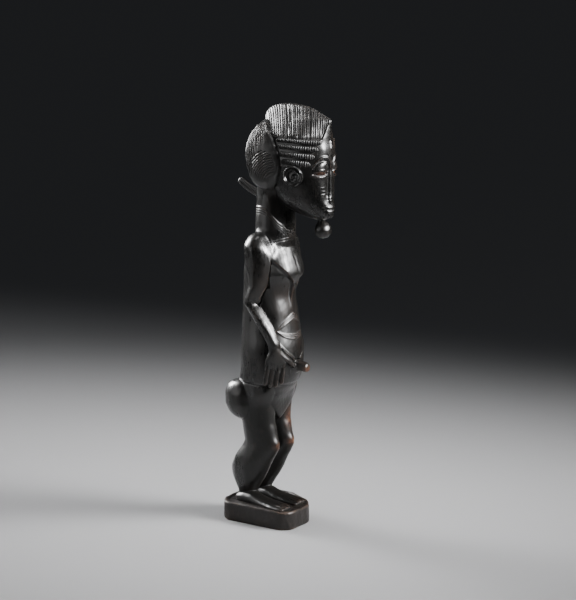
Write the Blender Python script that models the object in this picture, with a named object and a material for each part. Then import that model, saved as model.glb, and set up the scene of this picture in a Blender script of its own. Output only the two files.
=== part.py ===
"""A standing male figure in the West African carved style, cut from one block of dark wood.

The real figure is one piece. Its carved members are modelled here as separate solids, each in
its own object, which meet with a hairline gap. Nothing on it moves.

The figure stands on the plane z = 0, +Z up, and looks along -Y, so its own right is at -X.
Lengths in the tables are millimetres; every mesh is made in metres.
"""

import math
from collections import namedtuple

import bmesh
import bpy
from mathutils import Matrix, Vector

MM = 0.001

# Driving heights, from the floor up.
PLINTH_TOP = 18.0
INSTEP_TOP = 25.0
KNEE = 76.0
CROTCH = 100.0
WAIST = 137.0
WRIST = 176.0
ELBOW = 216.0
NECK_FOOT = 267.0
CREST_FOOT = 374.0
HEIGHT = 403.5

GAP = 0.3
RIGHT, LEFT = -1, 1
SIDES = {RIGHT: "right", LEFT: "left"}

# One cross-section: its place along the axis, its centre, its half-sizes and how square it is
# (2 is an ellipse, less is a lozenge, more is a rounded box). turn swings it about the axis.
Section = namedtuple("Section", "at cx cy a front back power turn", defaults=(2.0, 0.0))

# Horizontal sections, bottom to top: height, centre x and y, half-width, half-depth to the
# front and to the back. Paired members are given for the left side, at +X.
TORSO = [
    Section(WAIST + GAP, 0, 3.5, 28.2, 28.5, 28.2),
    Section(146, 0, 1, 29.5, 30.0, 29.5),
    Section(157, 0, 0, 30.0, 30.5, 30.0),
    Section(171, 0, 0, 29.5, 30.2, 29.5),
    Section(186, 0, 1, 27.8, 28.2, 28.0),
    Section(202, 0, 2, 26.5, 27.0, 26.5),
    Section(218, 0, 3, 26.0, 26.8, 24.5),
    Section(233, 0, 2.5, 26.5, 29.5, 23.0, 2.1),
    Section(243, 0, 2, 27.5, 33.5, 22.5, 2.2),
    Section(254, 0, 1, 27.0, 29.0, 21.5, 2.2),
    Section(262, 0, -1, 24.5, 24.0, 20.0, 2.1),
    Section(NECK_FOOT, 0, -3.5, 20.5, 19.0, 18.5),
]
NECK = [
    Section(NECK_FOOT + GAP, 0, -4, 20.0, 18.6, 18.4),
    Section(276, 0, -4.4, 19.3, 18.2, 18.8),
    Section(289, 0, -4.7, 18.7, 18.0, 18.7),
    Section(304, 0, -4.7, 18.2, 18.2, 18.3),
    Section(317, 0, -5, 18.2, 18.2, 18.0),
]
HEAD = [
    Section(297.5, 0, -56, 5.5, 10.0, 6.0),
    Section(301, 0, -51, 9.5, 19.0, 14.0, 2.1),
    Section(307, 0, -45, 14.0, 26.0, 24.0, 2.1),
    Section(315, 0, -41, 18.0, 29.8, 32.0, 2.1),
    Section(325, 0, -38, 20.5, 32.0, 34.0, 2.1),
    Section(337, 0, -36, 23.0, 33.5, 35.0, 2.1),
    Section(350, 0, -35, 24.5, 34.5, 36.0, 2.1),
    Section(363, 0, -33, 24.0, 36.5, 35.0, 2.1),
    Section(373, 0, -31, 21.5, 36.0, 32.0, 2.1),
    Section(382, 0, -29, 15.5, 30.0, 26.0),
    Section(388, 0, -28, 8.0, 16.0, 14.0),
]
CREST = [
    Section(CREST_FOOT, 0, -33, 24.0, 32.5, 20.0, 1.9),
    Section(382, 0, -33, 18.5, 34.0, 32.0, 1.8),
    Section(389.5, 0, -32, 13.0, 36.0, 37.0, 1.7),
    Section(395, 0, -29, 9.0, 29.0, 34.5, 1.7),
    Section(399.5, 0, -27, 6.0, 21.0, 26.0, 1.8),
    Section(402.5, 0, -25, 3.5, 12.0, 14.0),
    Section(HEIGHT, 0, -24, 1.5, 4.0, 5.0),
]
HIPS = [
    Section(CROTCH + GAP, 0, 6, 24.0, 15.2, 15.0, 2.6),
    Section(108, 0, 6, 25.0, 17.5, 16.0, 2.5),
    Section(118, 0, 5, 26.0, 20.0, 18.0, 2.4),
    Section(128, 0, 4, 27.0, 24.5, 22.5, 2.2),
    Section(WAIST, 0, 3.5, 27.4, 27.4, 27.4, 2.1),
]
BUTTOCK = [
    Section(97.0, 14.0, 21, 3.0, 3.0, 4.0),
    Section(100, 14.0, 21, 9.5, 9.0, 11.5),
    Section(106, 14.0, 21, 13.4, 13.0, 18.0),
    Section(114, 14.0, 21, 15.6, 15.0, 21.8),
    Section(123, 14.0, 21, 15.6, 15.0, 21.8),
    Section(131, 14.0, 21, 13.0, 13.0, 18.4),
    Section(135, 14.0, 21, 9.8, 10.0, 13.4),
    Section(WAIST, 14.0, 21, 6.0, 6.0, 8.0),
]
THIGH = [
    Section(KNEE + GAP, 12.0, 3.0, 10.7, 20.0, 20.0, 1.9),
    Section(84, 12.0, 4.5, 11.0, 18.5, 19.5, 2.0),
    Section(92, 12.2, 5.5, 11.4, 17.8, 19.0, 2.2),
    Section(CROTCH, 12.5, 6.0, 11.2, 16.0, 19.0, 2.3),
]
LOWER_LEG = [
    Section(INSTEP_TOP + GAP, 11.5, 20.5, 8.5, 9.5, 9.5),
    Section(33, 11.8, 19.5, 10.3, 13.0, 14.5),
    Section(41, 12.2, 18.0, 11.6, 17.0, 19.5),
    Section(50, 12.5, 15.0, 12.1, 19.0, 23.0),
    Section(59, 12.5, 11.0, 12.0, 19.5, 23.5),
    Section(67, 12.2, 7.0, 11.4, 20.5, 22.0, 1.9),
    Section(KNEE, 12.0, 3.0, 10.7, 20.0, 20.0, 1.9),
]
# A foot runs front to back: its sections stand upright at a y, centred on x and z. The two feet
# do not turn out alike, so each has its own shift at the toes.
TOES_OUT = {RIGHT: 11.0, LEFT: -9.0}
FOOT = [
    Section(-34.5, 12.0, 20.0, 8.6, 1.6, 1.4, 3.0),
    Section(-31, 12.0, 20.1, 10.2, 1.7, 1.9, 3.0),
    Section(-22, 12.0, 20.3, 10.6, 1.9, 2.3, 2.6),
    Section(-8, 12.0, 20.6, 9.8, 2.2, 2.9, 2.4),
    Section(6, 12.0, 21.2, 9.3, 2.8, 3.6, 2.3),
    Section(18, 12.0, 21.4, 9.3, 2.9, 3.6, 2.3),
    Section(28, 12.0, 21.3, 8.5, 2.8, 3.4, 2.3),
    Section(32, 12.0, 21.0, 5.5, 2.4, 2.5),
]
UPPER_ARM = [
    Section(ELBOW + GAP, 29.5, 3.5, 6.4, 7.6, 6.6, 1.8, -6),
    Section(224, 29.2, 1.0, 6.8, 8.6, 6.6, 1.8, -10),
    Section(235, 28.0, -2.0, 7.6, 10.2, 7.4, 1.8, -12),
    Section(248, 26.5, -2.0, 9.2, 13.6, 10.0, 1.8, -14),
    Section(260, 24.5, -0.5, 11.5, 14.6, 12.5, 2.0, -12),
    Section(269, 23.0, 0.0, 12.5, 12.5, 13.0),
    Section(276, 21.5, 0.0, 10.0, 10.0, 11.0),
    Section(281, 20.0, -0.5, 6.0, 6.5, 7.0),
    Section(282.5, 19.0, -0.5, 2.0, 2.5, 2.5),
]
FOREARM = [
    Section(WRIST + GAP, 25.5, -21.5, 4.2, 5.6, 5.6, 1.9, -38),
    Section(184, 27.0, -18.5, 4.6, 6.2, 6.0, 1.8, -30),
    Section(194, 28.2, -13.0, 5.2, 7.0, 6.6, 1.8, -18),
    Section(203, 29.0, -6.5, 5.9, 7.4, 6.8, 1.8, -8),
    Section(210, 29.4, -1.0, 6.2, 7.0, 6.8, 1.8),
    Section(ELBOW, 29.5, 3.5, 6.4, 6.6, 6.6, 1.8),
]
# The hand lies flat against the belly, so its sections are swung round to follow it.
HAND_TURN = -42.0
PALM = [
    Section(155, 23.2, -20.9, 3.0, 9.8, 9.8, 3.0, HAND_TURN),
    Section(160, 23.6, -21.2, 3.4, 9.8, 9.8, 2.8, HAND_TURN),
    Section(166, 24.4, -21.8, 3.7, 8.0, 8.0, 2.6, HAND_TURN),
    Section(171, 25.0, -21.8, 3.9, 6.2, 6.0, 2.3, -40),
    Section(WRIST, 25.5, -21.5, 4.2, 5.6, 5.6, 1.9, -38),
]
FINGER_SPREAD = (-7.7, -2.6, 2.5, 7.6)
FINGER_LENGTH = (18.5, 21.0, 21.5, 19.5)
FINGER_HALF_WIDTH = 1.9
KNUCKLES = 157.0
THUMB = [
    Section(154, 8.0, -31.0, 1.4, 1.4, 1.4),
    Section(157, 10.5, -31.5, 2.6, 2.6, 2.6),
    Section(162, 15.0, -29.8, 3.2, 3.0, 3.0),
    Section(168, 20.5, -25.6, 2.8, 2.8, 2.8),
]
# The left arm is carved further round the side of the body than the right one.
LEFT_SWING = 37.0

# The lobe of hair behind each ear, and the beard's bead on its short neck.
LOBE = [
    Section(321.5, 12.0, -8, 4.5, 8.0, 8.0),
    Section(325, 12.5, -9, 10.0, 15.0, 14.0),
    Section(333, 14.0, -10, 13.2, 20.0, 20.5),
    Section(345, 14.8, -10, 14.5, 22.5, 24.5),
    Section(357, 14.8, -10, 14.5, 22.0, 26.0),
    Section(369, 14.0, -10, 13.6, 18.0, 24.0),
    Section(378, 12.0, -10, 11.5, 12.0, 18.5),
    Section(385, 9.5, -9, 7.5, 7.0, 11.0),
    Section(388.5, 8.0, -8, 2.5, 3.0, 4.0),
]
BEAD = [
    Section(279.5, 0, -59.5, 2.5, 2.5, 2.5),
    Section(281.5, 0, -59.5, 5.8, 5.8, 5.8),
    Section(285, 0, -59.5, 7.6, 7.6, 7.6),
    Section(289, 0, -59.5, 7.9, 7.9, 7.9),
    Section(293, 0, -59.0, 6.3, 6.3, 6.3),
    Section(296, 0, -58.0, 4.0, 4.0, 4.0),
    Section(300, 0, -56.5, 4.0, 4.0, 4.0),
]
# The navel is a short peg that points forward, and the loin point hangs between the thighs.
NAVEL_HEIGHT = 154.0
NAVEL = [
    Section(-43.0, 0, NAVEL_HEIGHT - 1.0, 2.2, 2.2, 2.2),
    Section(-41.5, 0, NAVEL_HEIGHT - 0.8, 3.8, 3.8, 3.8),
    Section(-38, 0, NAVEL_HEIGHT - 0.3, 4.6, 4.6, 4.6),
    Section(-32, 0, NAVEL_HEIGHT, 5.6, 5.6, 5.6),
    Section(-27, 0, NAVEL_HEIGHT, 6.4, 6.4, 6.4),
]
LOIN_POINT = [
    Section(98.5, 0, -6.5, 1.2, 2.4, 1.4),
    Section(102.5, 0, -6.5, 4.2, 5.6, 3.0, 2.2),
    Section(107, 0, -7.0, 7.4, 7.0, 3.0, 2.2),
    Section(112, 0, -8.0, 8.6, 8.4, 3.0, 2.2),
    Section(117, 0, -9.0, 7.6, 8.8, 3.0, 2.2),
]
# An ear is a disc that stands on the side of the head: its sections stand at an x.
EAR_Y, EAR_HEIGHT = -43.5, 339.0
EAR = [
    Section(19.0, EAR_Y, EAR_HEIGHT, 9.6, 9.6, 9.6),
    Section(25.5, EAR_Y, EAR_HEIGHT, 9.9, 9.9, 9.9),
    Section(27.3, EAR_Y + 0.5, EAR_HEIGHT, 9.0, 9.2, 9.2),
]
# Four rows of plaits follow the temple's oval: height, then the angles where the row starts and
# ends, from the side of the head (0) towards the middle of the forehead (90).
TRESS_ROWS = ((371.0, -14, 70), (365.0, -12, 59), (358.6, -10, 49), (352.2, -8, 38))
TRESS_RADIUS = 3.1
TRESS_END = 0.55
TRESS_STEPS = 8
BRAID_ROUTE = ((0, 8, 316), (0, 15, 315.5), (0, 24, 318), (0, 32, 323), (0, 38, 329))
BRAID_RADII = (4.2, 4.0, 3.5, 2.9, 2.2)

# The plinth is a hand-cut slab; its far front corner is cut off longer than the others.
PLINTH_CORNERS = (
    (-36.5, 31), (-36.5, -35), (-28, -44), (2, -43), (17, -31),
    (30, -3), (30.5, 25), (15, 40), (-4, 44), (-24, 41),
)
PLINTH_ROUNDING = 4.0
PLINTH_EDGE = 1.6

# Colour and roughness of each finish; all of them are wood.
FINISHES = {
    "dark_patina": ((0.020, 0.014, 0.011, 1.0), 0.32),
    "hair_patina": ((0.016, 0.012, 0.010, 1.0), 0.38),
    "plinth_wood": ((0.035, 0.026, 0.020, 1.0), 0.50),
    "worn_wood": ((0.200, 0.075, 0.032, 1.0), 0.35),
}


def clear_scene():
    for old in list(bpy.data.objects):
        bpy.data.objects.remove(old)


def make_finishes():
    made = {}
    for name, (colour, roughness) in FINISHES.items():
        material = bpy.data.materials.new(name)
        material.use_nodes = True
        shader = material.node_tree.nodes["Principled BSDF"]
        shader.inputs["Base Color"].default_value = colour
        shader.inputs["Roughness"].default_value = roughness
        shader.inputs["Metallic"].default_value = 0.0
        made[name] = material
    return made


def rounded(value, power):
    """A cosine or a sine, bent so that the outline it draws is a lozenge, an ellipse or a box."""
    return math.copysign(abs(value) ** (2.0 / power), value)


def outline(section, corners, grow):
    """The points of one section, anticlockwise, as offsets (across, along) from its own centre."""
    turn = Matrix.Rotation(math.radians(section.turn), 2)
    points = []
    for i in range(corners):
        angle = 2 * math.pi * (i + 0.5) / corners
        across = rounded(math.cos(angle), section.power) * (section.a + grow)
        reach = section.front if math.sin(angle) < 0 else section.back
        along = rounded(math.sin(angle), section.power) * (reach + grow)
        points.append(turn @ Vector((across, along)))
    return points


def between(sections, height):
    """The section at a height that falls between two of a table's own sections."""
    for lower, upper in zip(sections, sections[1:]):
        if lower.at <= height <= upper.at:
            share = (height - lower.at) / (upper.at - lower.at)
            return Section(*(p + (q - p) * share for p, q in zip(lower, upper)))
    raise ValueError(height)


def swung(sections, side):
    """The left arm's sections, carried round the body: nothing at the elbow, most at the wrist."""
    if side == RIGHT:
        return sections
    moved = []
    for section in sections:
        share = min(1.0, max(0.0, (ELBOW - section.at) / (ELBOW - WRIST)))
        angle = LEFT_SWING * share
        spot = Matrix.Rotation(math.radians(angle), 2) @ Vector((section.cx, section.cy))
        moved.append(section._replace(cx=spot.x, cy=spot.y, turn=section.turn + angle))
    return moved


def thumb_of(side):
    """The thumb's sections; the left one lies flatter against the belly."""
    if side == RIGHT:
        return THUMB
    return [section._replace(cx=section.cx * 0.93, cy=section.cy * 0.93) for section in THUMB]


def finish_object(name, mesh, material):
    obj = bpy.data.objects.new(name, mesh)
    bpy.context.scene.collection.objects.link(obj)
    mesh.materials.append(material)
    mesh.shade_smooth()
    mesh.set_sharp_from_angle(angle=math.radians(40))
    return obj


def skin(name, rings, material):
    """One closed solid through rings of points, each with as many corners, with a cap at each end."""
    bm = bmesh.new()
    loops = [[bm.verts.new(Vector(p) * MM) for p in ring] for ring in rings]
    for lower, upper in zip(loops, loops[1:]):
        for i in range(len(lower)):
            j = (i + 1) % len(lower)
            bm.faces.new((lower[i], lower[j], upper[j]))
            bm.faces.new((lower[i], upper[j], upper[i]))
    bm.faces.new(reversed(loops[0]))
    bm.faces.new(loops[-1])
    bmesh.ops.recalc_face_normals(bm, faces=bm.faces)
    mesh = bpy.data.meshes.new(name)
    bm.to_mesh(mesh)
    bm.free()
    return finish_object(name, mesh, material)


def loft(name, sections, material, side=LEFT, corners=16, axis="z", grow=0.0):
    """A solid through sections stacked along z, along y (a foot) or along x (an ear).

    side mirrors it to the figure's right. grow makes it larger all round, for use as a cutter.
    """
    ends = {0: -grow, len(sections) - 1: grow}
    rings = []
    for n, section in enumerate(sections):
        at = section.at + ends.get(n, 0.0)
        ring = []
        for across, along in outline(section, corners, grow):
            u, v = section.cx + across, section.cy + along
            x, y, z = {"z": (u, v, at), "y": (u, at, v), "x": (at, u, v)}[axis]
            ring.append((x * side, y, z))
        rings.append(ring)
    return skin(name, rings, material)


def tube(name, route, radii, material, reference, corners=10):
    """A round solid whose thickness changes along a route that stays square to the reference."""
    rings = []
    for n, (point, radius) in enumerate(zip(route, radii)):
        before = Vector(route[max(n - 1, 0)])
        after = Vector(route[min(n + 1, len(route) - 1)])
        first = Vector(reference)
        second = first.cross((after - before).normalized())
        ring = []
        for i in range(corners):
            angle = 2 * math.pi * i / corners
            ring.append(Vector(point) + radius * (math.cos(angle) * first + math.sin(angle) * second))
        rings.append(ring)
    return skin(name, rings, material)


def hide_cutter(obj):
    obj.hide_render = True
    obj.display_type = "WIRE"
    return obj


def combine(obj, others, operation):
    for other in others:
        step = obj.modifiers.new(f"{operation.lower()} {other.name}", "BOOLEAN")
        step.operation = operation
        step.solver = "EXACT"
        step.object = other
    return obj


def cut(obj, *cutters):
    return combine(obj, cutters, "DIFFERENCE")


def join(obj, *helpers):
    return combine(obj, [hide_cutter(h) for h in helpers], "UNION")


def plinth(material):
    """A low slab with softened corners, its edges rubbed round by hand."""
    bm = bmesh.new()
    floor = bm.faces.new([bm.verts.new((x * MM, y * MM, 0)) for x, y in PLINTH_CORNERS])
    raised = bmesh.ops.extrude_face_region(bm, geom=[floor])
    top = [v for v in raised["geom"] if isinstance(v, bmesh.types.BMVert)]
    bmesh.ops.translate(bm, verts=top, vec=(0, 0, PLINTH_TOP * MM))
    uprights = [e for e in bm.edges if abs(e.verts[0].co.z - e.verts[1].co.z) > MM]
    bmesh.ops.bevel(bm, geom=uprights, offset=PLINTH_ROUNDING * MM, segments=3, profile=0.5, affect="EDGES")
    bmesh.ops.recalc_face_normals(bm, faces=bm.faces)
    mesh = bpy.data.meshes.new("plinth")
    bm.to_mesh(mesh)
    bm.free()
    obj = finish_object("plinth", mesh, material)
    edge = obj.modifiers.new("worn edge", "BEVEL")
    edge.width = PLINTH_EDGE * MM
    edge.segments = 2
    edge.angle_limit = math.radians(50)
    return obj


def foot(side, material):
    """A flat foot, heel behind the ankle and toes swung out or in by its own amount."""
    heel, toe = FOOT[-1].at, FOOT[0].at
    sections = []
    for section in FOOT:
        share = (heel - section.at) / (heel - toe)
        sections.append(section._replace(cx=section.cx + TOES_OUT[side] * share))
    return loft(f"{SIDES[side]}_foot", sections, material, side, corners=14, axis="y")


def finger(name, place, length, side, material):
    """One straight finger, pointing down, at its place across the hand."""
    turn = math.radians(HAND_TURN)
    out = Vector((math.cos(turn), math.sin(turn)))
    across = Vector((-math.sin(turn), math.cos(turn)))
    centre = Vector((PALM[0].cx, PALM[0].cy)) + 0.4 * out
    sections = []
    for drop, half in ((length, 0.55), (length - 1.5, 0.95), (0.0, 1.0), (-6.0, 0.8)):
        spot = centre + across * place * (1.0 + 0.12 * drop / length)
        width = FINGER_HALF_WIDTH * half
        sections.append(Section(KNUCKLES - drop, spot.x, spot.y, width * 1.1, width, width, 2.2, HAND_TURN))
    return loft(name, swung(sections, side), material, side, corners=8)


def hand(side, material, cutters):
    label = SIDES[side]
    palm = loft(f"{label}_hand", swung(PALM, side), material, side, corners=14)
    pieces = [
        finger(f"{label}_finger_{n}", place, length, side, material)
        for n, (place, length) in enumerate(zip(FINGER_SPREAD, FINGER_LENGTH))
    ]
    pieces.append(loft(f"{label}_thumb", swung(thumb_of(side), side), material, side, corners=8))
    return cut(join(palm, *pieces), *cutters)


def tress_row(number, side, material, cutters):
    """One plait, laid level round the temple and thinner at its ends."""
    height, start, end = TRESS_ROWS[number]
    oval = between(HEAD, height)
    route = []
    radii = []
    for step in range(TRESS_STEPS + 1):
        angle = math.radians(start + (end - start) * step / TRESS_STEPS)
        reach = oval.front if angle > 0 else oval.back
        route.append((side * oval.a * math.cos(angle), oval.cy - reach * math.sin(angle), height))
        radii.append(TRESS_RADIUS * (TRESS_END if step in (0, TRESS_STEPS) else 1.0))
    name = f"{SIDES[side]}_tress_{number + 1}"
    return cut(tube(name, route, radii, material, reference=(0, 0, 1)), *cutters)


def build():
    clear_scene()
    finish = make_finishes()
    skin_wood, hair_wood = finish["dark_patina"], finish["hair_patina"]

    plinth(finish["plinth_wood"])
    loft("neck", NECK, skin_wood)
    loft("torso", TORSO, skin_wood, corners=24)
    hips = loft("hips", HIPS, skin_wood, corners=20)
    head = loft("head", HEAD, skin_wood, corners=20)

    grown = {
        name: hide_cutter(loft(f"grown_{name}", table, skin_wood, corners=corners, grow=GAP))
        for name, table, corners in (
            ("torso", TORSO, 24),
            ("hips", HIPS, 20),
            ("neck", NECK, 16),
            ("head", HEAD, 20),
            ("crest", CREST, 20),
        )
    }
    cut(head, grown["neck"])
    cut(loft("hair_crest", CREST, hair_wood, corners=20), grown["head"])
    cut(loft("beard_bead", BEAD, skin_wood, corners=14), grown["head"])
    cut(loft("navel", NAVEL, finish["worn_wood"], corners=14, axis="y"), grown["torso"])
    cut(loft("loin_point", LOIN_POINT, skin_wood, corners=10), grown["hips"])
    cut(tube("nape_braid", BRAID_ROUTE, BRAID_RADII, hair_wood, reference=(1, 0, 0)), grown["neck"])

    for side, label in SIDES.items():
        foot(side, skin_wood)
        loft(f"{label}_lower_leg", LOWER_LEG, skin_wood, side)
        join(hips, loft(f"{label}_buttock_form", BUTTOCK, skin_wood, side))
        grown_buttock = hide_cutter(loft(f"grown_{label}_buttock", BUTTOCK, skin_wood, side, grow=GAP))
        cut(loft(f"{label}_thigh", THIGH, skin_wood, side), grown_buttock)

        cut(loft(f"{label}_upper_arm", UPPER_ARM, skin_wood, side), grown["torso"], grown["neck"])
        cut(loft(f"{label}_forearm", swung(FOREARM, side), skin_wood, side), grown["torso"])
        hand(side, skin_wood, (grown["torso"], grown["hips"]))

        cut(loft(f"{label}_ear", EAR, skin_wood, side, corners=18, axis="x"), grown["head"])
        grown_ear = hide_cutter(
            loft(f"grown_{label}_ear", EAR, skin_wood, side, corners=18, axis="x", grow=GAP)
        )
        lobe = loft(f"{label}_hair_lobe", LOBE, hair_wood, side, corners=18)
        cut(lobe, grown["crest"], grown["head"], grown["neck"])
        grown_lobe = hide_cutter(
            loft(f"grown_{label}_lobe", LOBE, hair_wood, side, corners=18, grow=GAP)
        )
        for number in range(len(TRESS_ROWS)):
            tress_row(number, side, hair_wood, (grown["head"], grown["crest"], grown_lobe, grown_ear))


build()
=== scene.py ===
"""Looks of the carved standing figure: one block of dark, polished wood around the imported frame."""

import math

import bpy
import numpy as np
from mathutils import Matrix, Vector
from mathutils.bvhtree import BVHTree


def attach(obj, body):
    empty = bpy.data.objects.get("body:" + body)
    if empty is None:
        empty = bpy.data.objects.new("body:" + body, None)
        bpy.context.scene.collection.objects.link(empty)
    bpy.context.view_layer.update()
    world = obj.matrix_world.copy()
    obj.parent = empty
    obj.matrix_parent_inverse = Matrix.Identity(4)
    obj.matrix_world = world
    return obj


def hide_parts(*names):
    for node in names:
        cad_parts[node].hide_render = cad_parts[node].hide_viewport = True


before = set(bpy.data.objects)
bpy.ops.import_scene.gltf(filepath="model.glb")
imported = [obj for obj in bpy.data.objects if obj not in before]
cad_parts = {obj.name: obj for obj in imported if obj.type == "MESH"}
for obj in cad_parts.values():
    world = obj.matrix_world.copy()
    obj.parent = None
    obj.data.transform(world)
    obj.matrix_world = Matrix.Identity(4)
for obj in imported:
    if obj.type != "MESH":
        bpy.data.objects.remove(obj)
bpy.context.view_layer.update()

MM = 0.001
RIGHT, LEFT = -1, 1
SIDES = {RIGHT: "right", LEFT: "left"}
COARSE = 1.0
# The voxels of the fused skin, in millimetres.
SKIN_VOXEL = 0.5
# The left forearm is carried this far round the body, in degrees, between these heights.
LEFT_SWING = 37.0
ELBOW, WRIST = 216.0, 176.0
# It's drawn in by this share, a hair's breadth inside the solid's own outline.
LEFT_TUCK = 0.012
# The left thumb lies flatter, and the left toes end sooner, than the right ones.
LEFT_THUMB_SHARE = LEFT_TOES_SHARE = 0.93
# These radii turn an angle round the belly into a distance along it.
BELLY_RADIUS, LOW_BELLY_RADIUS = 27.5, 28.5

# ---------------------------------------------------------------- tables
# Sections: place along the axis, centre (two), half-width, reach to the front and to the back,
# power of the outline (2 an ellipse, less a lozenge, more a box) and its turn in degrees.
TORSO = [
    (134.5, 0, 3.5, 26, 26.5, 26), (136.6, 0, 3.5, 27.9, 28.2, 27.8), (138.2, 0, 3.2, 28.7, 29, 28.6),
    (146, 0, 1, 29.5, 30, 29.5), (157, 0, 0, 30, 30.6, 30), (171, 0, 0, 29.5, 30.2, 29.5),
    (186, 0, 1, 27.8, 28.2, 28), (202, 0, 2, 26.5, 27, 26.5), (218, 0, 3, 26, 26.8, 24.5),
    (233, 0, 2.5, 26.5, 29.5, 23, 2.1), (243, 0, 2, 27.5, 33.5, 22.5, 2.2), (254, 0, 1, 27, 29.6, 21.5, 2.2),
    (262, 0, -1, 24.5, 24.4, 20, 2.1), (268, 0, -3.5, 19.5, 18.6, 18), (272, 0, -4.5, 12, 12, 12),
]
NECK = [
    (262, 0, -4, 19.5, 18, 18), (276, 0, -4.4, 19.3, 18.2, 18.8), (289, 0, -4.7, 18.7, 18, 18.7),
    (304, 0, -4.7, 18.2, 18.2, 18.3), (317, 0, -5, 18.2, 18.2, 18), (321, 0, -5.5, 18.6, 18.2, 18.2),
    (325, 0, -6.5, 19.6, 18.2, 18.4), (329, 0, -7.5, 20, 18.2, 18.6), (334, 0, -8.5, 18.2, 17, 17.2),
    (339, 0, -9, 13, 13, 12),
]
HIPS = [
    (102, 0, 8, 19, 6, 12, 2.4), (104, 0, 8, 21.5, 9, 14, 2.4), (108, 0, 7, 23.8, 13.6, 15, 2.4),
    (113, 0, 6, 24.8, 16.6, 16.5, 2.4), (118, 0, 5, 25.4, 18.4, 18, 2.4), (128, 0, 4, 26.8, 23.2, 22.5, 2.2),
    (136, 0, 3.5, 27, 26.9, 26.6, 2.1), (142, 0, 3.5, 22, 22, 22, 2.1),
]
# Between the shoulder and the chest plate the wood runs on without a groove.
COLLARBONE = [
    (245, 17.5, -9, 2, 3, 2), (250, 17.8, -8.6, 5, 7, 5), (257, 18.4, -8, 8, 9.8, 7),
    (264, 18, -6.5, 9.4, 10.6, 8), (271, 16.6, -5, 9, 9.6, 8), (277, 14.5, -4.5, 6.4, 7.4, 6),
    (281, 13, -4.5, 2, 2.5, 2),
]
# Down the inside of the upper arm the wood isn't cut free of the trunk.
ARM_WEB = [
    (206, 24.5, 5, 1.5, 2, 3), (211, 25.2, 3.5, 4, 7, 7), (222, 25.2, 1.5, 5, 8.6, 8),
    (232, 24.8, -1, 5.5, 9.4, 9), (242, 24.2, -2, 6, 10.6, 10), (251, 23.4, -2, 4, 8, 8),
    (255, 23, -2, 1.5, 2, 2),
]
BUTTOCK = [
    (96.6, 14, 21, 2, 2, 2.5), (98.5, 14, 21, 7, 7, 8.6), (102, 14, 21, 11.6, 11.2, 14.6),
    (107, 14, 21, 14.2, 14, 19.2), (114, 14, 21, 15.8, 15.4, 21.9), (122, 14, 21, 15.7, 15.4, 21.9),
    (130, 14, 21, 13.6, 14, 19.2), (134.5, 14, 21, 10.4, 11, 14.6), (137, 14, 20, 6, 7, 8.4),
]
THIGH = [
    (71, 12, 4.6, 9.2, 17, 17, 1.8), (76, 12, 3, 10.7, 20, 20, 1.76), (84, 12, 4.5, 11.3, 18.8, 19.5, 1.8),
    (92, 12.2, 5.5, 11.8, 18, 19, 1.95), (98, 12.6, 6, 11.4, 17, 19, 2.1), (104, 13, 6, 11.2, 17, 18, 2.1),
    (112, 13.2, 6, 11.4, 17.4, 17, 2.2), (118, 14.8, 2, 10.6, 14.2, 12, 2.1), (126, 16.4, -1.5, 9.8, 13.6, 9),
    (134, 17.4, -4, 7.6, 12, 5), (139, 18, -5, 3.5, 7, 2.5),
]
LOWER_LEG = [
    (19, 11.5, 20, 8.2, 9, 9.2), (25, 11.5, 20.5, 8.5, 9.5, 9.5), (33, 11.8, 19.5, 10.3, 13.2, 14.5, 1.9),
    (41, 12.2, 18, 11.6, 17.3, 19.5, 1.85), (50, 12.5, 15, 12.1, 19.4, 23, 1.8),
    (59, 12.5, 11, 12, 20, 23.5, 1.8), (67, 12.2, 7, 11.4, 20.9, 22, 1.75),
    (74, 12, 3.7, 10.8, 20.5, 20.4, 1.76), (78, 12, 3.8, 9.8, 17.6, 18.4, 1.8), (81, 12, 5, 7.5, 12, 13, 1.9),
]
TOES_OUT = {RIGHT: 11.0, LEFT: -9.0}
FOOT = [
    (-35, 12, 18.2, 7.6, 3, 1.2, 2.3), (-33.5, 12, 18.2, 9.4, 3, 2.1, 2.3), (-31, 12, 18.2, 10.2, 3, 2.7, 2.3),
    (-22, 12, 18.2, 10.6, 3, 3.4, 2.2), (-8, 12, 18.4, 9.8, 3, 4.2, 2.1), (2, 12, 19, 9.4, 3.4, 5.6, 2),
    (10, 12, 19.4, 9.3, 3.8, 7.4, 2), (18, 12, 19.4, 9.3, 3.8, 7.4, 2), (28, 12, 19.2, 8.5, 3.8, 4.6, 2.1),
    (31.5, 12, 19.2, 5.5, 3.8, 2.6),
]
UPPER_ARM = [
    (214, 29.4, 3.9, 6.2, 7.6, 6.6, 1.5, -6), (217, 29.5, 3.4, 6.9, 8, 6.9, 1.4, -7),
    (224, 29.2, 1, 7.2, 9.2, 7, 1.35, -10), (235, 28, -2, 8, 11.8, 7.8, 1.32, -14),
    (248, 26.5, -2, 9.9, 16.6, 10.8, 1.32, -18), (256, 25.3, -1.1, 11.2, 18.4, 12, 1.38, -19),
    (262, 24.3, -0.5, 12.2, 17, 12.9, 1.5, -16), (269, 23, 0, 12.8, 13.4, 13.2, 1.75, -8),
    (276, 21.5, 0, 10.4, 9.4, 11, 1.9, 0), (281, 20, -0.5, 6, 6.5, 7, 2, 0),
    (282.5, 19, -0.5, 2, 2.5, 2.5, 2, 0),
]
FOREARM = [
    (170, 25, -21.8, 3.6, 5.4, 5.4, 1.9, -40), (176, 25.5, -21.5, 4.4, 6, 6, 1.7, -38),
    (184, 27, -18.5, 4.9, 6.8, 6.5, 1.5, -34), (194, 28.2, -13, 5.6, 7.7, 7.2, 1.45, -30),
    (203, 29, -6.5, 6.3, 8, 7.3, 1.45, -22), (210, 29.4, -1, 6.7, 7.6, 7.3, 1.45, -12),
    (216, 29.5, 3.5, 6.9, 7.3, 7, 1.5), (219, 29.4, 3.2, 5.4, 6, 5.6, 1.6),
]
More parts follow.
